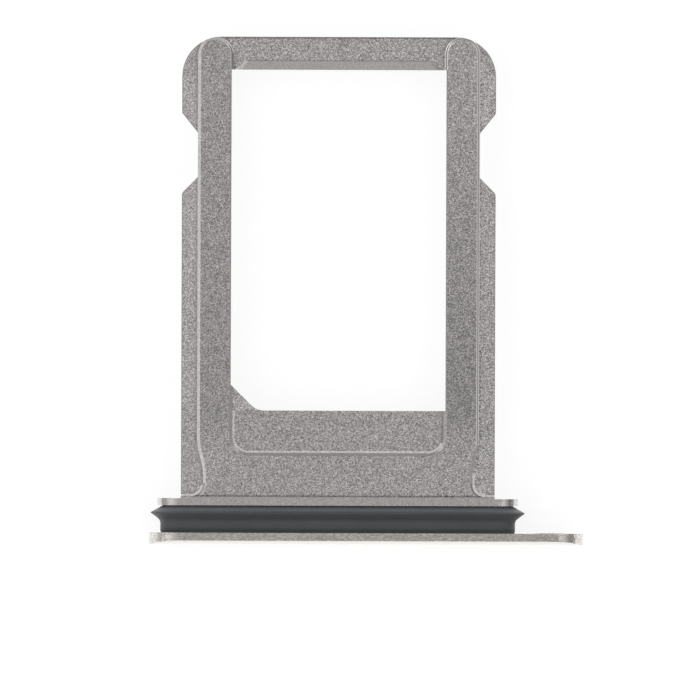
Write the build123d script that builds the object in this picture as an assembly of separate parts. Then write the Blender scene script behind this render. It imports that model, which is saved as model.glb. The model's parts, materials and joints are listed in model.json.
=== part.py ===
from build123d import *
import math
import os

# Card that the tray carries, nano size. All sizes are in millimetres.
card_width = 8.80
card_length = 12.30
card_thickness = 0.67
card_corner_cut = 1.65

# Room round the card and behind it in its pocket
card_side_clearance = 0.05
card_depth_clearance = 0.03
pocket_corner_radius = 0.80

# Ledges that the card's contact side lies on, measured inwards from the pocket's walls
side_ledge = 0.87
door_end_ledge = 0.60
far_end_ledge = 0.435
cut_corner_ledge = 0.46
ledge_thickness = 0.25
window_cut_fillet = 0.63

# Frame round the pocket
side_wall = 0.78
far_wall = 0.66
far_corner_radius = 1.32
base_length = 2.263
collar_length = 0.065
edge_break = 0.03

# Raised rails and base, above the level of the wings, the bar and the recess
rail_rise = 0.20
rail_bevel_width = 0.10
rail_bevel_drop = 0.05
recess_side_inset = 0.06
recess_length = 1.41
recess_corner_radius = 0.55

# Scoops that the wings cut into the sides of the base
scoop_width = 0.21
scoop_length = 0.98
scoop_ramp_length = 0.68
scoop_corner_radius = 0.42
scoop_bend_share = 0.9

# Smooth ramp on the bar, where the reader's springs ride up, and its mitred ends
ramp_length = 0.30
ramp_drop = 0.15
ramp_end_gap = 0.11
ramp_mitre = 0.425
ramp_end_slope = 45

# Detent notches in the frame's sides
detent_wall = 0.25
detent_setback = 2.545
detent_lead_length = 0.66
detent_floor_length = 1.477
detent_catch_length = 0.533
detent_corner_radius = 0.12
detent_catch_radius = 0.20

# Door, whose outer face is crowned from its top edge to its bottom edge
door_height = 1.93
door_thickness = 0.395
door_edge_thickness = 0.265
door_rim_break = 0.03
door_side_shift = 0.95
ejector_hole_diameter = 1.04
ejector_hole_from_end = 1.09

# Flange and neck, set in from the door's edge all round, and the groove that they leave for the seal
flange_overhang = 0.10
flange_inset = 0.275
flange_thickness = 0.235
groove_width = 0.908
neck_inset = 0.69

# Seal, set in from the door's edge, with heights above the door's inner face
seal_lip_inset = 0.035
seal_lip_height = 0.66
seal_lip_radius = 0.02
seal_body_inset = 0.375
seal_waist_height = 0.41
seal_waist_radius = 0.22
seal_foot_radius = 0.06
seal_shoulder_inset = 0.47

# Sizes that follow
pocket_half = card_width / 2 + card_side_clearance
pocket_length = card_length + 2 * card_side_clearance
pocket_depth = card_thickness + card_depth_clearance
pocket_cut = card_corner_cut + (2 - math.sqrt(2)) * card_side_clearance
window_half = pocket_half - side_ledge
window_cut = pocket_cut + math.sqrt(2) * cut_corner_ledge - side_ledge - door_end_ledge
recess_half = window_half - recess_side_inset
rail_half = pocket_half + detent_wall
frame_half = pocket_half + side_wall
frame_thickness = pocket_depth + ledge_thickness + rail_rise
end_radius = door_height / 2
core_half = frame_half + flange_overhang
door_core_half = core_half + door_side_shift
flange_radius = end_radius - flange_inset
neck_radius = end_radius - neck_inset

# Places along Y, from the door's outer face to the frame's far end
tray_length = groove_width + flange_thickness + collar_length + base_length + pocket_length + far_wall
door_outer_y = -(door_thickness + tray_length) / 2
door_inner_y = door_outer_y + door_thickness
flange_y = door_inner_y + groove_width
collar_y = flange_y + flange_thickness
base_y = collar_y + collar_length
pocket_y = base_y + base_length
pocket_end_y = pocket_y + pocket_length
window_y = pocket_y + door_end_ledge
window_end_y = pocket_end_y - far_end_ledge
far_end_y = pocket_end_y + far_wall

# Heights, with the door's lower edge at zero
middle_z = end_radius
underside_z = middle_z - frame_thickness / 2
ledge_z = underside_z + pocket_depth
wing_z = ledge_z + ledge_thickness
rail_z = wing_z + rail_rise
same_height = 1e-5


def rounded_face(corners):
    """A flat face through corners, each given as (x, y, radius)."""
    points = [(x, y) for x, y, radius in corners]
    radii = [radius for x, y, radius in corners]
    return make_face(FilletPolyline(*points, radius=radii, close=True).edges())


def both_sides(right_corners):
    """The right half of a closed outline, continued by its mirror image."""
    return right_corners + [(-x, y, radius) for x, y, radius in reversed(right_corners)]


def block(face, low_z, high_z):
    """A face drawn in plan, as a block between two heights."""
    return Pos(0, 0, low_z) * extrude(face, high_z - low_z)


def stadium_plate(radius, half_core, low_y, high_y):
    """A plate with half-round ends that stands upright between low_y and high_y."""
    outline = Plane.XZ * SlotCenterToCenter(2 * half_core, 2 * radius)
    return Pos(0, high_y, middle_z) * extrude(outline, high_y - low_y)


def edges_at(part, z):
    """The edges that lie flat at one height."""
    return part.edges().filter_by_position(Axis.Z, z - same_height, z + same_height)


def plan_outline():
    """The frame's outline with its detent notches. It runs on into the flange."""
    lead_y = far_end_y - detent_setback
    floor_end_y = lead_y - detent_lead_length
    floor_y = floor_end_y - detent_floor_length
    catch_y = floor_y - detent_catch_length
    return rounded_face(
        both_sides(
            [
                (frame_half, flange_y, 0),
                (frame_half, catch_y, detent_catch_radius),
                (rail_half, floor_y, detent_corner_radius),
                (rail_half, floor_end_y, detent_corner_radius),
                (frame_half, lead_y, detent_corner_radius),
                (frame_half, far_end_y, far_corner_radius),
            ]
        )
    )


def pocket_outline():
    """The card's pocket, with the cut corner at the left of the door's end."""
    return rounded_face(
        [
            (pocket_half, pocket_y, pocket_corner_radius),
            (pocket_half, pocket_end_y, pocket_corner_radius),
            (-pocket_half, pocket_end_y, pocket_corner_radius),
            (-pocket_half, pocket_y + pocket_cut, 0),
            (-pocket_half + pocket_cut, pocket_y, 0),
        ]
    )


def window_outline():
    """The window that the reader's contacts reach through, with a cut corner beside the card's."""
    return rounded_face(
        [
            (window_half, window_y, 0),
            (window_half, window_end_y, 0),
            (-window_half, window_end_y, 0),
            (-window_half, window_y + window_cut, 0),
            (-window_half + window_cut, window_y, window_cut_fillet),
        ]
    )


def raised_outline():
    """The U of the two rails and the base, scooped in at each side, which runs on into the flange."""
    tip_radius = (rail_half - recess_half) / 2
    tip_x = (rail_half + recess_half) / 2
    tip_y = far_end_y - tip_radius
    throat_half = rail_half - scoop_width
    ramp_y = base_y + scoop_length
    turn = math.atan2(scoop_width, scoop_ramp_length)
    slant = math.hypot(scoop_width, scoop_ramp_length)
    bend_radius = scoop_bend_share * slant / 2 / math.tan(turn / 2)
    body = rounded_face(
        both_sides(
            [
                (frame_half, flange_y, 0),
                (frame_half, base_y, 0),
                (throat_half, base_y, scoop_corner_radius),
                (throat_half, ramp_y, bend_radius),
                (rail_half, ramp_y + scoop_ramp_length, bend_radius),
                (rail_half, tip_y, 0),
            ]
        )
    )
    recess = rounded_face(
        both_sides(
            [
                (recess_half, window_y - recess_length, recess_corner_radius),
                (recess_half, far_end_y, 0),
            ]
        )
    )
    tips = [Pos(side * tip_x, tip_y) * Circle(tip_radius) for side in (-1, 1)]
    return body - recess + tips


def raised_body():
    """The rails and the base with their bevels, reaching down into the plate and kept inside its outline."""
    low_z = wing_z - 2 * edge_break
    raised = block(raised_outline(), low_z, rail_z)
    top = raised.faces().sort_by(Axis.Z)[-1]
    raised = chamfer(edges_at(raised, rail_z), rail_bevel_width, rail_bevel_drop, reference=top)
    return raised & block(plan_outline(), low_z, rail_z)


def lead_in_ramp():
    """The wedge that is taken off the bar's edge over the window, between two sloping mitred ends."""
    low_half = window_half - ramp_end_gap
    high_half = low_half - ramp_mitre
    high_y = window_end_y + ramp_length
    low_y = window_end_y - ramp_length
    plan = rounded_face(both_sides([(low_half + ramp_mitre, low_y, 0), (high_half, high_y, 0)]))
    between_ends = extrude(Pos(0, 0, wing_z) * plan, ramp_drop, dir=(0, 0, -1), taper=ramp_end_slope)
    section = make_face(
        Polyline(
            (0, window_end_y, wing_z),
            (0, high_y, wing_z),
            (0, window_end_y, wing_z - ramp_drop),
            close=True,
        )
    )
    return extrude(section, window_half, both=True, dir=(1, 0, 0)) & between_ends


def card_frame():
    """The moulded frame, with its collar, flange and neck, centred on X = 0."""
    plate = block(plan_outline(), underside_z, wing_z)
    plate -= block(pocket_outline(), underside_z, ledge_z)
    plate = chamfer(edges_at(plate, underside_z) + edges_at(plate, wing_z), edge_break)
    collar = Pos(0, (collar_y + base_y) / 2, middle_z) * Box(2 * frame_half, collar_length, 2 * flange_radius)
    flange = stadium_plate(flange_radius, core_half, flange_y, collar_y)
    neck = stadium_plate(neck_radius, core_half, door_inner_y, flange_y)
    frame = plate + raised_body() + collar + flange + neck
    frame -= block(window_outline(), ledge_z, rail_z)
    return frame - lead_in_ramp()


def seal_ring():
    """The seal's section, run along the groove's straight sides and turned about its two ends."""
    section_plane = Plane((core_half, door_inner_y, middle_z), x_dir=(0, 0, 1), z_dir=(-1, 0, 0))
    section = section_plane * rounded_face(
        [
            (neck_radius, 0, 0),
            (end_radius - seal_body_inset, 0, seal_foot_radius),
            (end_radius - seal_body_inset, seal_waist_height, seal_waist_radius),
            (end_radius - seal_lip_inset, seal_lip_height, seal_lip_radius),
            (end_radius - seal_shoulder_inset, groove_width, 0),
            (neck_radius, groove_width, 0),
        ]
    )
    side = extrude(section, 2 * core_half)
    end = revolve(section, Axis((core_half, 0, middle_z), (0, 1, 0)), 180)
    return side + mirror(side, Plane.XY.offset(middle_z)) + end + mirror(end, Plane.YZ)


def door():
    """The crowned faceplate with its ejector hole, centred on X = 0."""
    crown = door_thickness - door_edge_thickness
    crown_radius = (end_radius**2 + crown**2) / (2 * crown)
    blank = stadium_plate(end_radius, door_core_half, door_outer_y, door_inner_y)
    crown_length = 2 * (door_core_half + end_radius)
    crown_round = Rot(0, 90, 0) * Cylinder(crown_radius, crown_length)
    plate = blank & Pos(0, door_outer_y + crown_radius, middle_z) * crown_round
    rim = plate.faces().filter_by(GeomType.CYLINDER).sort_by(SortBy.AREA)[-1].edges()
    plate = fillet(rim, door_rim_break)
    hole_x = door_core_half + end_radius - ejector_hole_from_end
    drill = Rot(90, 0, 0) * Cylinder(ejector_hole_diameter / 2, door_height)
    return plate - Pos(hole_x, door_outer_y, middle_z) * drill


nodes = {
    "card_frame": Pos(-door_side_shift, 0, 0) * card_frame(),
    "seal_ring": Pos(-door_side_shift, 0, 0) * seal_ring(),
    "door": door(),
}

os.makedirs("parts", exist_ok=True)
for name, shape in nodes.items():
    export_step(shape, f"parts/{name}.step")
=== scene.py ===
import json
import math

import bpy
from mathutils import Euler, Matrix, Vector


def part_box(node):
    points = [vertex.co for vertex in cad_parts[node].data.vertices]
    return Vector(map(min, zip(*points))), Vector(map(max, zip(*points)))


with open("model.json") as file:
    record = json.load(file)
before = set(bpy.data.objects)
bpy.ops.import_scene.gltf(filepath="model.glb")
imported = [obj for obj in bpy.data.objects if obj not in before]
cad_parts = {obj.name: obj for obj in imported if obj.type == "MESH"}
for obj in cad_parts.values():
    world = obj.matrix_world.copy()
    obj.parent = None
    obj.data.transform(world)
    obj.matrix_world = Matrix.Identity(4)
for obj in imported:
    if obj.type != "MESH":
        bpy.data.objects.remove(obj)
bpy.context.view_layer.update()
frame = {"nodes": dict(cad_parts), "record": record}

nodes = frame["nodes"]
mounts = {mount["name"]: mount for mount in frame["record"]["mounts"]}
per_mm = 1000.0
mm = 1 / per_mm

# Sizes of the card frame's details. The object's lengths are in millimetres.
ledge_thickness = 0.25
flange_thickness = 0.235
collar_length = 0.065
base_to_window = 2.863
window_length = 11.365
recess_length = 1.41
recess_half = 3.52
recess_radius = 0.55
ramp_length = 0.30
ramp_mitre = 0.425
ramp_half = 3.045
throat_half = 4.49
scoop_radius = 0.42
scoop_end = 1.55
tip_radius = 0.59

# Places on the card frame, from the seat of the card and from the seal's groove
wing_z = mounts["card_seat"]["pos_m"][2] * per_mm + ledge_thickness
flange_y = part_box("seal_ring")[1].y * per_mm
base_y = flange_y + flange_thickness + collar_length
window_y = base_y + base_to_window
window_end_y = window_y + window_length
recess_y = window_y - recess_length
ramp_y = window_end_y + ramp_length
far_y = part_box("card_frame")[1].y * per_mm
tip_x = recess_half + tip_radius
tip_y = far_y - tip_radius
middle_x = mounts["slot_guides"]["pos_m"][0] * per_mm
right_side_starts = (middle_x + 3.0, middle_x + 3.4)

# Where tones and marks start or end, as a distance from the frame's middle. Each pair is one fade.
inner_bevel_starts = (3.46, 3.51)
inner_bevel_ends = (3.68, 3.65)
outer_edge_starts = (3.70, 3.75)
tip_top_sides = (3.74, 3.80)
inner_side = (4.30, 4.00)
outer_side = (4.30, 4.50)

# Where tones and marks start or end along the frame. Each pair is one fade.
crease_shade_starts = (base_y - 0.045, base_y + 0.015)
crease_shade_ends = (base_y + 0.042, base_y + 0.025)
scoop_corner_ends = (base_y + 0.50, base_y + 0.40)
scoop_fade = (base_y + scoop_end, base_y + scoop_end + 0.30)
near_wing_fade = (recess_y, window_y + 1.0)
window_fade = (window_y - 0.10, window_y)
bar_fade = (window_end_y - 0.2, window_end_y)
round_tip_starts = (tip_y, tip_y + 0.12)
tip_highlight_starts = (tip_y + 0.05, tip_y + 0.30)
tip_top_starts = (far_y - 0.22, far_y - 0.10)
far_edge_starts = (far_y - 0.10, far_y - 0.06)
far_shade_line_starts = (far_y - 0.075, far_y - 0.055)

# Where the painted highlights at the walls' feet end along the frame, on the left and on the right, and the
# scoop's fade
recess_highlight_ends = (window_y, recess_y + 0.35)
scoop_highlight_ends = (base_y + 0.42, base_y + 0.85)
scoop_highlight_fade = 0.12

# Heights where the frame's top side, its marks of painted light and shade and its raised faces start. Each
# pair is one fade.
top_side_starts = (wing_z - 0.9, wing_z - 0.2)
painted_marks_start = (wing_z - 0.04, wing_z - 0.02)
raised_starts = (wing_z + 0.02, wing_z + 0.10)

# Places on the seal, from the door's inner face
door_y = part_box("seal_ring")[0].y * per_mm
lip_y = door_y + 0.66
lip_starts = (lip_y, lip_y + 0.10)
foot_ends = (door_y + 0.08, door_y + 0.18)
foot_edge_starts = (door_y + 0.055, door_y + 0.025)

# Tones of the frame's blasted faces, partly the steel's own and partly painted light and shade, which
# differs from left to right and along the frame. A pair runs from the window's near end to the frame's far
# end.
frame_tint = (1.04, 0.99, 0.985)
left_rail_tones = (0.37, 0.398)
right_rail_tones = (0.32, 0.430)
base_tone = 0.415
left_wing_tone = 0.49
right_wing_tones = (0.435, 0.475)
near_wing_tone = 0.44
bar_tone = 0.44
recess_tone = 0.415
underside_tone = 0.44
collar_tone = 0.508

# Tones of the frame's smooth sloped faces, partly the smooth steel's own and partly painted light and
# shade: painted highlights on the outer bevels, the tips' tops and the left ramp end, and painted shade on
# the inner bevels, the scoop's corner, the right ramp end and the broken outer edge. The scoop corner's
# pair runs up its bevel, and the left ramp end's pair is its face and the painted highlight line along its
# mitre.
bevel_tone = 0.54
right_outer_bevel_tone = 0.44
left_inner_bevel_tone = 0.38
right_inner_bevel_tone = 0.28
right_recess_bevel_tone = 0.36
left_bar_bevel_tone = 0.26
right_bar_bevel_tone = 0.24
left_tip_top_highlight_tone = 0.85
right_tip_top_highlight_tone = 0.60
scoop_corner_shade_tones = (0.30, 0.50)
left_highlight_line_tone = 0.72
right_highlight_line_tone = 0.62
right_outer_highlight_line_tone = 0.78
tip_highlight_line_tone = 0.98
left_ramp_end_light_tones = (0.62, 1.0)
right_ramp_end_shade_tone = 0.42
broken_edge_shade_tone = 0.26

# Factors for the marks on the frame's edges: painted highlights at the walls' feet, and painted shade in
# the crease at the collar, along the ramp's far edge and just inside the frame's far edge
recess_foot_highlight_gain = 2.15
scoop_foot_highlight_gain = 2.40
crease_shade_gain = 0.60
ramp_shade_line_gain = 0.70
far_edge_shade_gain = 0.66

# How the frame's faces are told apart, by how far they look up. A pair is where a kind fades in or out.
sloped_starts = (0.50, 0.58)
sloped_ends = (0.97, 0.93)
steep_starts = (0.60, 0.66)
steep_ends = (0.80, 0.76)
side_wall_starts = (0.40, 0.20)

# Thin lines of painted light and shade: painted highlights beside a wall, and at the lower and upper edges
# of a rail's bevel as distances in from the rail's side, painted shade to each side of the ramp's far edge,
# and a painted highlight from a share of the way to the ramp's mitre
wall_foot_highlight_ends = (0.078, 0.056)
lower_line_start = -0.01
lower_line_ends = (0.036, 0.018)
upper_line_starts = (0.066, 0.082)
ramp_shade_line_ends = (0.030, 0.008)
mitre_highlight_starts = (0.84, 0.90)

# Where the painted shade on the bevel at the scoop's corner changes tone, as a distance from the scoop's
# wall, below 0 beyond it
scoop_corner_fade = (-0.055, -0.085)

# Grain of the frame's steel. The pairs of speck and lean run from its rough faces to its smooth ones,
# and the pair of roughness follows the mottle.
frame_grain = 0.026
frame_mottle = 0.16
frame_drift = 1.6
frame_speck = (0.66, 0.14)
frame_lean = (0.42, 0.08)
frame_mottle_swing = 0.08
frame_drift_swing = 0.06
frame_bump = 0.15
mottled_roughness = (0.30, 0.44)
smooth_roughness = 0.24

# Depth of the bump in all three materials
bump_depth = 0.004

# How calm the frame's side walls, collar and painted highlights at the walls' feet are, where a sloped face
# is 1
side_wall_calm = 0.50
collar_calm = 0.75
foot_highlight_calm = 0.60

# Finish of the door. The pairs of speck and lean run from its edge to its outer face, which is told by
# how far it looks along Y, and the pair of roughness follows the drift.
door_face_starts = (-0.80, -0.92)
door_tint = (0.546, 0.523, 0.494)
door_grain = 0.033
door_stretch = (0.45, 1.0, 1.0)
door_drift = 1.2
door_speck = (0.26, 0.05)
door_lean = (0.16, 0.03)
door_drift_swing = 0.05
door_bump = 0.05
door_roughness = (0.20, 0.28)

# Finish of the seal. The pair of roughness follows the skin.
seal_tint = (0.0815, 0.085, 0.090)
seal_skin = 0.05
seal_drift = 0.9
seal_skin_swing = 0.20
seal_drift_swing = 0.12
seal_bump = 0.20
seal_roughness = (0.50, 0.62)
# Painted light on the seal: a painted highlight on the lip's upper face, painted shade over the foot by the
# door, and a painted highlight along the foot's edge by the door
painted_lip_light_gain = 2.40
shaded_foot_gain = 0.60
seal_foot_highlight_gain = 3.0

# The photograph's frame: 30 pixels to a millimetre, and what its middle looks at. The camera's height
# and the sizes of the floor and the lamps are in metres.
picture_pixels = 700
pixels_per_mm = 30.0
picture_middle = Vector((-0.557, -1.970, 1.4)) * mm
picture_roll = math.radians(0.20)
camera_height = 0.40

# Floor, whose glow is seen by the camera and, brighter, by the metal
floor_half = 2.0
floor_glow = (0.84, 1.18)
glowing_floor_grey = 0.26
plain_floor_grey = 0.85

# Brightness of the studio's four sides, as elevation in degrees and level
left_levels = ((0, 0.74), (30, 0.74), (36, 0.70), (70, 0.68), (76, 0.57), (90, 0.55))
right_low_levels = ((0, 0.48), (8, 0.42), (14, 0.30), (26, 0.32), (33, 0.62))
right_levels = right_low_levels + ((44, 0.66), (66, 0.66), (74, 0.57), (90, 0.55))
ahead_levels = ((0, 0.61), (60, 0.61), (74, 0.57), (90, 0.55))
behind_levels = ((0, 0.36), (30, 0.42), (42, 0.42), (58, 0.52), (74, 0.57), (90, 0.55))

# How far a direction points along X or Y where the light of one side fades into the next
sides_fade = (-0.4, 0.4)
ahead_fade = (-0.35, -0.75)
behind_fade = (0.35, 0.75)


def new_material(name):
    """A material with an empty node tree apart from its shader and output, and that tree."""
    material = bpy.data.materials.new(name)
    material.use_nodes = True
    return material, material.node_tree


def add(tree, kind, inputs=None, **settings):
    """A node of one kind, with its settings and with values or links on its inputs."""
    node = tree.nodes.new(kind)
    for name, value in settings.items():
        setattr(node, name, value)
    for name, value in (inputs or {}).items():
        if isinstance(value, bpy.types.NodeSocket):
            tree.links.new(value, node.inputs[name])
        else:
            node.inputs[name].default_value = value
    return node


def sums(tree, operation, *terms):
    """The result of one operation on numbers or sockets."""
    return add(tree, "ShaderNodeMath", dict(enumerate(terms)), operation=operation).outputs[0]


def times(tree, first, *others):
    """The product of numbers or sockets."""
    product = first
    for factor in others:
        product = sums(tree, "MULTIPLY", product, factor)
    return product


def most(tree, first, *others):
    """The largest of numbers or sockets."""
    largest = first
    for value in others:
        largest = sums(tree, "MAXIMUM", largest, value)
    return largest


def minus(tree, first, second):
    """One number or socket less another."""
    return sums(tree, "SUBTRACT", first, second)


def size_of(tree, value):
    """A number without its sign."""
    return sums(tree, "ABSOLUTE", value)


def above(tree, value, limit):
    """1 where a value is above a limit, and 0 elsewhere."""
    return sums(tree, "GREATER_THAN", value, limit)


def below(tree, value, limit):
    """1 where a value is below a limit, and 0 elsewhere."""
    return sums(tree, "LESS_THAN", value, limit)


def length_of(tree, along, across):
    """The length of the line that two sides at a right angle span."""
    squares = sums(tree, "ADD", times(tree, along, along), times(tree, across, across))
    return sums(tree, "SQRT", squares)


def vectors(tree, operation, first, second):
    """The result of one operation on two vectors."""
    inputs = {0: first, 1: second}
    return add(tree, "ShaderNodeVectorMath", inputs, operation=operation).outputs["Vector"]


def scaled(tree, vector, factor):
    """A vector times a number."""
    inputs = {0: vector, "Scale": factor}
    return add(tree, "ShaderNodeVectorMath", inputs, operation="SCALE").outputs["Vector"]


def blend(tree, share, low, high):
    """A number that runs from low to high with share."""
    node = add(tree, "ShaderNodeMix", data_type="FLOAT")
    for socket, value in zip((node.inputs[0], node.inputs[2], node.inputs[3]), (share, low, high)):
        if isinstance(value, bpy.types.NodeSocket):
            tree.links.new(value, socket)
        else:
            socket.default_value = value
    return node.outputs[0]


def step(tree, value, start, end):
    """A smooth step from 0 at start to 1 at end."""
    limits = {"Value": value, "From Min": start, "From Max": end}
    return add(tree, "ShaderNodeMapRange", limits, interpolation_type="SMOOTHSTEP").outputs["Result"]


def places(tree):
    """The point on the surface in millimetres."""
    return scaled(tree, add(tree, "ShaderNodeTexCoord").outputs["Object"], per_mm)


def split(tree, vector):
    """The three numbers of a vector."""
    return add(tree, "ShaderNodeSeparateXYZ", {"Vector": vector}).outputs


def facing(tree):
    """The way a face looks, before any bump."""
    return split(tree, add(tree, "ShaderNodeNewGeometry").outputs["True Normal"])


def noise(tree, place, size_mm):
    """Even noise of one size, mostly from 0.25 to 0.75."""
    return add(tree, "ShaderNodeTexNoise", {"Vector": place, "Scale": 1 / size_mm}).outputs["Fac"]


def grains(tree, place, size_mm):
    """Tiny grains side by side, each with three random numbers of its own from 0 to 1."""
    return add(tree, "ShaderNodeTexVoronoi", {"Vector": place, "Scale": 1 / size_mm}).outputs["Color"]


def swing(tree, value, amount):
    """A factor about 1 that follows a value from 0 to 1, up and down by amount."""
    centred = sums(tree, "MULTIPLY_ADD", value, 2.0, -1.0)
    return sums(tree, "MULTIPLY_ADD", centred, amount, 1.0)


def leaning(tree, normal, grain, amount):
    """The normal, leant another way on each grain."""
    lean = scaled(tree, vectors(tree, "SUBTRACT", grain, (0.5, 0.5, 0.5)), amount)
    return vectors(tree, "NORMALIZE", vectors(tree, "ADD", normal, lean), (0, 0, 0))


def bumped(tree, height, strength, depth_mm):
    """The normal of a surface that is raised by height."""
    values = {"Height": height, "Strength": strength, "Distance": depth_mm * mm}
    return add(tree, "ShaderNodeBump", values).outputs["Normal"]


def finish(tree, colour, roughness, normal, metallic):
    """Joins the surface's colour, roughness and normal to the material's shader."""
    shader = tree.nodes["Principled BSDF"]
    tree.links.new(colour, shader.inputs["Base Color"])
    tree.links.new(roughness, shader.inputs["Roughness"])
    tree.links.new(normal, shader.inputs["Normal"])
    shader.inputs["Metallic"].default_value = metallic


def wall_distance(tree, across, along, wall, foot, radius):
    """How far a point lies inside two walls that meet in a round corner, up to that corner's radius."""
    past_wall = most(tree, minus(tree, across, wall - radius), 0.0)
    past_foot = most(tree, minus(tree, foot + radius, along), 0.0)
    return minus(tree, radius, length_of(tree, past_wall, past_foot))


def wall_foot_highlight(tree, distance):
    """A thin line of painted highlight on the floor beside a wall."""
    return times(tree, step(tree, distance, *wall_foot_highlight_ends), above(tree, distance, 0.0))


def rail_highlight_lines(tree, across, y, right):
    """Painted highlight lines on the rails' bevels, beside the bar and round the tips, and outside on the
    right.
    """
    past_tip = most(tree, minus(tree, y, tip_y), 0.0)
    depth = minus(tree, tip_radius, length_of(tree, minus(tree, across, tip_x), past_tip))
    upper_line = step(tree, depth, *upper_line_starts)
    lower_line = times(tree, step(tree, depth, *lower_line_ends), above(tree, depth, lower_line_start))
    lower_share = most(tree, right, step(tree, y, *round_tip_starts))
    lines = most(tree, upper_line, times(tree, lower_line, lower_share))
    beside_bar = times(tree, above(tree, y, window_end_y), step(tree, across, *inner_side))
    outside = times(tree, step(tree, y, *scoop_fade), step(tree, across, *outer_side), right)
    return times(tree, lines, most(tree, beside_bar, outside))


def bevel_painted_light_tones(tree, across, y, right, from_scoop):
    """The tone of the rails' and the base's bevels, partly the smooth steel's own and partly painted light
    and shade, with their thin painted highlight lines.
    """
    outer_right = times(tree, right, step(tree, across, *outer_side))
    outer_tone = blend(tree, outer_right, bevel_tone, right_outer_bevel_tone)
    past_recess = step(tree, y, *window_fade)
    right_tone = blend(tree, past_recess, right_recess_bevel_tone, right_inner_bevel_tone)
    window_tone = blend(tree, right, left_inner_bevel_tone, right_tone)
    bar_side_tone = blend(tree, right, left_bar_bevel_tone, right_bar_bevel_tone)
    inner_tone = blend(tree, above(tree, y, window_end_y), window_tone, bar_side_tone)
    inner = times(tree, step(tree, across, *inner_bevel_starts), step(tree, across, *inner_bevel_ends))
    tone = blend(tree, inner, outer_tone, inner_tone)

    # Painted highlight on the tips' tops
    tip_top = times(tree, step(tree, y, *tip_top_starts), step(tree, across, *tip_top_sides))
    tone = blend(tree, tip_top, tone, blend(tree, right, left_tip_top_highlight_tone, right_tip_top_highlight_tone))
    # Painted shade on the bevel round the scoop's corner
    corner_tone = blend(tree, step(tree, from_scoop, *scoop_corner_fade), *scoop_corner_shade_tones)
    tone = blend(tree, step(tree, y, *scoop_corner_ends), tone, corner_tone)

    # Painted highlight lines along the bevels' edges and round the tips
    highlight_tone = blend(tree, right, left_highlight_line_tone, right_highlight_line_tone)
    highlight_tone = blend(tree, outer_right, highlight_tone, right_outer_highlight_line_tone)
    highlight_tone = blend(tree, step(tree, y, *tip_highlight_starts), highlight_tone, tip_highlight_line_tone)
    return blend(tree, rail_highlight_lines(tree, across, y, right), tone, highlight_tone)


def sloped_painted_light_tone(tree, x, across, y, up, right, from_scoop):
    """The tone of the smooth sloped faces, partly painted light and shade: the bevels, the ramp and its
    ends, and the broken outer edge.
    """
    along_mitre = sums(tree, "DIVIDE", minus(tree, across, ramp_half), ramp_mitre)
    # A painted highlight line along the left ramp end's mitre
    up_ramp = sums(tree, "DIVIDE", minus(tree, y, window_end_y), ramp_length)
    mitre_highlight = step(tree, sums(tree, "ADD", along_mitre, up_ramp), *mitre_highlight_starts)
    left_end_tone = blend(tree, mitre_highlight, *left_ramp_end_light_tones)
    # Painted light on the left ramp end and painted shade on the right one
    ramp_end_tone = blend(tree, above(tree, x, middle_x), left_end_tone, right_ramp_end_shade_tone)
    # Painted shade on the broken outer edge
    beside_ramp = step(tree, across, *outer_edge_starts)
    outer = most(tree, beside_ramp, step(tree, y, *far_edge_starts))
    steep_tone = blend(tree, outer, ramp_end_tone, broken_edge_shade_tone)
    steep = times(tree, step(tree, up, *steep_starts), step(tree, up, *steep_ends))
    return blend(tree, steep, bevel_painted_light_tones(tree, across, y, right, from_scoop), steep_tone)


def blasted_and_painted_light_tone(tree, across, y, z, raised, right):
    """The tone of the blasted faces, partly the steel's own and partly painted light and shade that differs
    from left to right. The raised rails are a little darker than the wings.
    """
    up_rail = step(tree, y, window_y, far_y)
    left_rail_tone = blend(tree, up_rail, *left_rail_tones)
    right_rail_tone = blend(tree, up_rail, *right_rail_tones)
    rail_tone = blend(tree, right, left_rail_tone, right_rail_tone)
    raised_tone = blend(tree, step(tree, y, recess_y, window_y), base_tone, rail_tone)

    wing_tone = blend(tree, right, left_wing_tone, blend(tree, up_rail, *right_wing_tones))
    far_tone = blend(tree, step(tree, y, *bar_fade), wing_tone, bar_tone)
    beside_tone = blend(tree, step(tree, y, *near_wing_fade), near_wing_tone, far_tone)
    in_recess = times(tree, below(tree, across, recess_half), below(tree, y, window_y))
    low_tone = blend(tree, in_recess, beside_tone, recess_tone)

    top_side = step(tree, z, *top_side_starts)
    return blend(tree, top_side, underside_tone, blend(tree, raised, low_tone, raised_tone))


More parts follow.
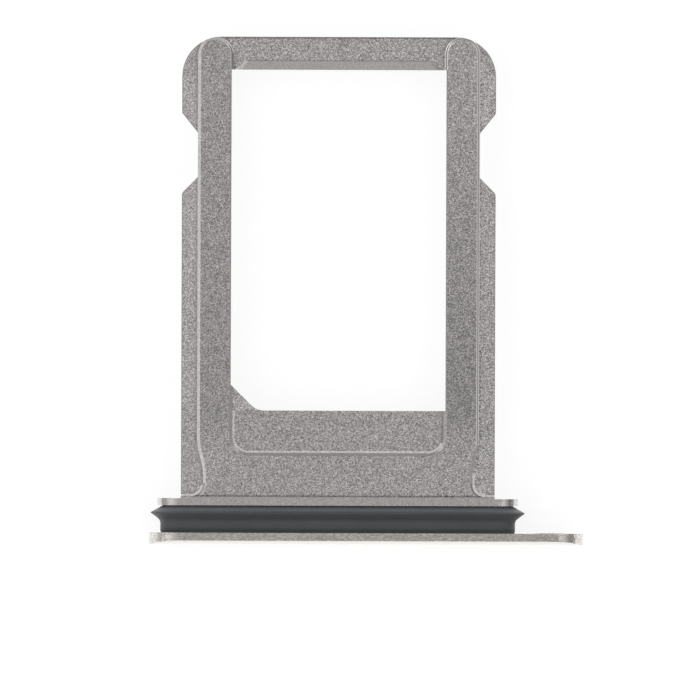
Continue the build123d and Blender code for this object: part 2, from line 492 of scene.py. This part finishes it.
def painted_edge_light_and_shade(tree, across, y, z, raised, right, from_scoop):
    """A factor for the painted highlights at the walls' feet and for painted shade in the crease, along the
    ramp's far edge and inside the far edge, and the share of the painted highlights.
    """
    top = step(tree, z, *painted_marks_start)
    low = times(tree, top, minus(tree, 1.0, raised))
    high = times(tree, top, raised)

    # Painted highlights on the floor at the feet of the recess's and the scoop's walls
    from_recess = wall_distance(tree, across, y, recess_half, recess_y, recess_radius)
    recess_end = blend(tree, right, *recess_highlight_ends)
    recess_highlight_line = times(tree, wall_foot_highlight(tree, from_recess), below(tree, y, recess_end), low)
    line_end = blend(tree, right, *scoop_highlight_ends)
    before_end = step(tree, y, line_end, minus(tree, line_end, scoop_highlight_fade))
    scoop_highlight_line = times(tree, wall_foot_highlight(tree, from_scoop), before_end, low)
    painted_highlight = times(
        tree,
        blend(tree, recess_highlight_line, 1.0, recess_foot_highlight_gain),
        blend(tree, scoop_highlight_line, 1.0, scoop_foot_highlight_gain),
    )

    # Painted shade in the crease where the base meets the collar
    crease_shade = times(tree, step(tree, y, *crease_shade_starts), step(tree, y, *crease_shade_ends), high)
    # Painted shade: a dark line along both sides of the ramp's far edge
    from_ramp = size_of(tree, minus(tree, y, ramp_y))
    on_ramp_shade_line = step(tree, from_ramp, *ramp_shade_line_ends)
    ramp_shade_line = times(tree, on_ramp_shade_line, below(tree, across, ramp_half), top)
    # Painted shade: a dark strip just inside the frame's far edge
    far_edge_shade = times(tree, step(tree, y, *far_shade_line_starts), low)
    painted_shade = times(
        tree,
        blend(tree, crease_shade, 1.0, crease_shade_gain),
        blend(tree, ramp_shade_line, 1.0, ramp_shade_line_gain),
        blend(tree, far_edge_shade, 1.0, far_edge_shade_gain),
    )
    return times(tree, painted_highlight, painted_shade), most(tree, recess_highlight_line, scoop_highlight_line)


def steel_of_frame():
    """Blasted steel with painted light and shade in its tones and edge marks. Sloped faces are smooth, and
    side walls, the collar and the painted highlights at the walls' feet are calmer.
    """
    material, tree = new_material("frame_steel")
    place = places(tree)
    x, y, z = split(tree, place)
    across = size_of(tree, minus(tree, x, middle_x))
    up = facing(tree)["Z"]
    raised = step(tree, z, *raised_starts)
    right = step(tree, x, *right_side_starts)
    outward = times(tree, across, -1.0)
    from_scoop = wall_distance(tree, outward, y, -throat_half, base_y, scoop_radius)

    collar = below(tree, y, base_y)
    flat_tone = blend(tree, collar, blasted_and_painted_light_tone(tree, across, y, z, raised, right), collar_tone)
    sloped = times(tree, step(tree, up, *sloped_starts), step(tree, up, *sloped_ends))
    tone = blend(tree, sloped, flat_tone, sloped_painted_light_tone(tree, x, across, y, up, right, from_scoop))
    edge_light_and_shade, foot_highlights = painted_edge_light_and_shade(tree, across, y, z, raised, right, from_scoop)
    side_wall = step(tree, size_of(tree, up), *side_wall_starts)
    calm = most(
        tree,
        sloped,
        times(tree, side_wall, side_wall_calm),
        times(tree, collar, collar_calm),
        times(tree, foot_highlights, foot_highlight_calm),
    )

    grain = grains(tree, place, frame_grain)
    speck = split(tree, grain)["X"]
    mottle = noise(tree, place, frame_mottle)
    drift = noise(tree, place, frame_drift)
    speckled = times(
        tree,
        swing(tree, speck, blend(tree, calm, *frame_speck)),
        swing(tree, mottle, frame_mottle_swing),
        swing(tree, drift, frame_drift_swing),
    )
    colour = scaled(tree, frame_tint, times(tree, tone, edge_light_and_shade, speckled))
    roughness = blend(tree, calm, blend(tree, mottle, *mottled_roughness), smooth_roughness)
    bump = bumped(tree, mottle, frame_bump, bump_depth)
    normal = leaning(tree, bump, grain, blend(tree, calm, *frame_lean))
    finish(tree, colour, roughness, normal, 1.0)
    return material


def steel_of_door():
    """Satin steel, drawn out along the door. Its outer face is much finer than its edge."""
    material, tree = new_material("door_steel")
    place = places(tree)
    outer_face = step(tree, facing(tree)["Y"], *door_face_starts)
    grain = grains(tree, vectors(tree, "MULTIPLY", place, door_stretch), door_grain)
    speck = split(tree, grain)["X"]
    drift = noise(tree, place, door_drift)
    speck_swing = swing(tree, speck, blend(tree, outer_face, *door_speck))
    colour = scaled(tree, door_tint, times(tree, speck_swing, swing(tree, drift, door_drift_swing)))
    roughness = blend(tree, drift, *door_roughness)
    bump = bumped(tree, drift, door_bump, bump_depth)
    normal = leaning(tree, bump, grain, blend(tree, outer_face, *door_lean))
    finish(tree, colour, roughness, normal, 1.0)
    return material


def rubber_of_seal():
    """Matt moulded rubber with a fine skin. The lip's upper face gets a painted highlight, and the foot by
    the door gets painted shade with a painted highlight along its edge.
    """
    material, tree = new_material("seal_rubber")
    place = places(tree)
    y = split(tree, place)["Y"]
    skin = noise(tree, place, seal_skin)
    drift = noise(tree, place, seal_drift)
    # Painted highlight on the lip, painted shade over the foot, and a painted highlight along its edge by
    # the door
    painted_lip_light = blend(tree, step(tree, y, *lip_starts), 1.0, painted_lip_light_gain)
    shaded = blend(tree, step(tree, y, *foot_ends), shaded_foot_gain, 1.0)
    seal_foot_highlight = blend(tree, step(tree, y, *foot_edge_starts), 1.0, seal_foot_highlight_gain)
    speckled = times(tree, swing(tree, skin, seal_skin_swing), swing(tree, drift, seal_drift_swing))
    colour = scaled(tree, seal_tint, times(tree, painted_lip_light, shaded, seal_foot_highlight, speckled))
    roughness = blend(tree, skin, *seal_roughness)
    finish(tree, colour, roughness, bumped(tree, skin, seal_bump, bump_depth), 0.0)
    return material


def grey(level):
    """A grey as a shader's colour."""
    return (level, level, level, 1)


def white_floor():
    """White to the camera and brighter in the metal, with a soft shadow of the tray."""
    material, tree = new_material("floor_white")
    tree.nodes.remove(tree.nodes["Principled BSDF"])
    rays = add(tree, "ShaderNodeLightPath").outputs
    seen = most(tree, rays["Is Camera Ray"], rays["Is Glossy Ray"])
    glow = blend(tree, rays["Is Glossy Ray"], *floor_glow)
    shown_glow = add(tree, "ShaderNodeEmission", {"Color": grey(1), "Strength": glow}).outputs[0]
    shown_matt = add(tree, "ShaderNodeBsdfDiffuse", {"Color": grey(glowing_floor_grey)}).outputs[0]
    shown = add(tree, "ShaderNodeAddShader", {0: shown_glow, 1: shown_matt}).outputs[0]
    plain = add(tree, "ShaderNodeBsdfDiffuse", {"Color": grey(plain_floor_grey)}).outputs[0]
    mixed = add(tree, "ShaderNodeMixShader", {0: seen, 1: plain, 2: shown}).outputs[0]
    tree.links.new(mixed, tree.nodes["Material Output"].inputs["Surface"])
    return material


def make_floor():
    """A wide flat floor at the height of the door's lower edge."""
    corners = [(x * floor_half, y * floor_half, 0) for x, y in ((-1, -1), (1, -1), (1, 1), (-1, 1))]
    mesh = bpy.data.meshes.new("floor")
    mesh.from_pydata(corners, [], [(0, 1, 2, 3)])
    floor = bpy.data.objects.new("floor", mesh)
    mesh.materials.append(white_floor())
    bpy.context.scene.collection.objects.link(floor)


def levels_by_elevation(tree, height, levels):
    """A brightness that changes with the elevation of a direction."""
    ramp = add(tree, "ShaderNodeValToRGB", {"Fac": height})
    stops = ramp.color_ramp.elements
    for degrees, level in levels[1:-1]:
        stops.new(math.sin(math.radians(degrees)))
    for stop, (degrees, level) in zip(stops, levels):
        stop.position = math.sin(math.radians(degrees))
        stop.color = grey(level)
    return ramp.outputs["Color"]


def mixed_levels(tree, share, first, second):
    """One brightness fading into another with share."""
    return add(tree, "ShaderNodeMix", {0: share, 6: first, 7: second}, data_type="RGBA").outputs[2]


def make_world():
    """A pale studio, brightest on the left, with a dark gap low on the right, and dim behind."""
    world = bpy.data.worlds.new("studio")
    bpy.context.scene.world = world
    world.use_nodes = True
    tree = world.node_tree
    direction = split(tree, add(tree, "ShaderNodeTexCoord").outputs["Generated"])
    all_levels = (left_levels, right_levels, ahead_levels, behind_levels)
    walls = [levels_by_elevation(tree, direction["Z"], levels) for levels in all_levels]
    left, right, ahead, behind = walls
    sides = mixed_levels(tree, step(tree, direction["X"], *sides_fade), left, right)
    front = mixed_levels(tree, step(tree, direction["Y"], *ahead_fade), sides, ahead)
    light = mixed_levels(tree, step(tree, direction["Y"], *behind_fade), front, behind)
    tree.links.new(light, tree.nodes["Background"].inputs["Color"])
    backdrop = add(tree, "ShaderNodeBackground", {"Color": grey(1), "Strength": 1.0}).outputs[0]
    camera_ray = add(tree, "ShaderNodeLightPath").outputs["Is Camera Ray"]
    shaders = {0: camera_ray, 1: tree.nodes["Background"].outputs[0], 2: backdrop}
    mixed = add(tree, "ShaderNodeMixShader", shaders).outputs[0]
    tree.links.new(mixed, tree.nodes["World Output"].inputs["Surface"])


def softbox(name, azimuth, elevation, tall, wide, level, distance=0.50):
    """A rectangular lamp of even brightness that faces the tray. Azimuth 0 stands at -Y and 90 at +X."""
    turn = math.radians(azimuth)
    rise = math.radians(elevation)
    way = Vector((math.sin(turn) * math.cos(rise), -math.cos(turn) * math.cos(rise), math.sin(rise)))
    lamp = bpy.data.lights.new(name, "AREA")
    lamp.shape = "RECTANGLE"
    lamp.size = wide
    lamp.size_y = tall
    lamp.energy = math.pi * tall * wide * level
    piece = bpy.data.objects.new(name, lamp)
    piece.location = way * distance
    piece.rotation_euler = (-way).to_track_quat("-Z", "Y").to_euler()
    bpy.context.scene.collection.objects.link(piece)


def make_camera():
    """Straight down on the tray, far off, so that its sides hardly show."""
    camera = bpy.data.cameras.new("camera")
    view_width = picture_pixels / pixels_per_mm * mm
    camera.sensor_width = 36.0
    camera.lens = camera.sensor_width * camera_height / view_width
    camera.clip_start = 0.01
    camera.clip_end = 10.0
    piece = bpy.data.objects.new("camera", camera)
    piece.location = picture_middle + Vector((0, 0, camera_height))
    piece.rotation_euler = Euler((0, 0, picture_roll))
    bpy.context.scene.collection.objects.link(piece)
    bpy.context.scene.camera = piece


looks = {"card_frame": steel_of_frame(), "seal_ring": rubber_of_seal(), "door": steel_of_door()}
for name, material in looks.items():
    nodes[name].material_slots[0].material = material

make_floor()
make_world()
softbox("softbox_left", azimuth=-90, elevation=54, tall=0.384, wide=0.80, level=0.40)
softbox("softbox_right", azimuth=90, elevation=58, tall=0.21, wide=0.80, level=0.42)
make_camera()
bpy.context.scene.view_settings.view_transform = "Standard"
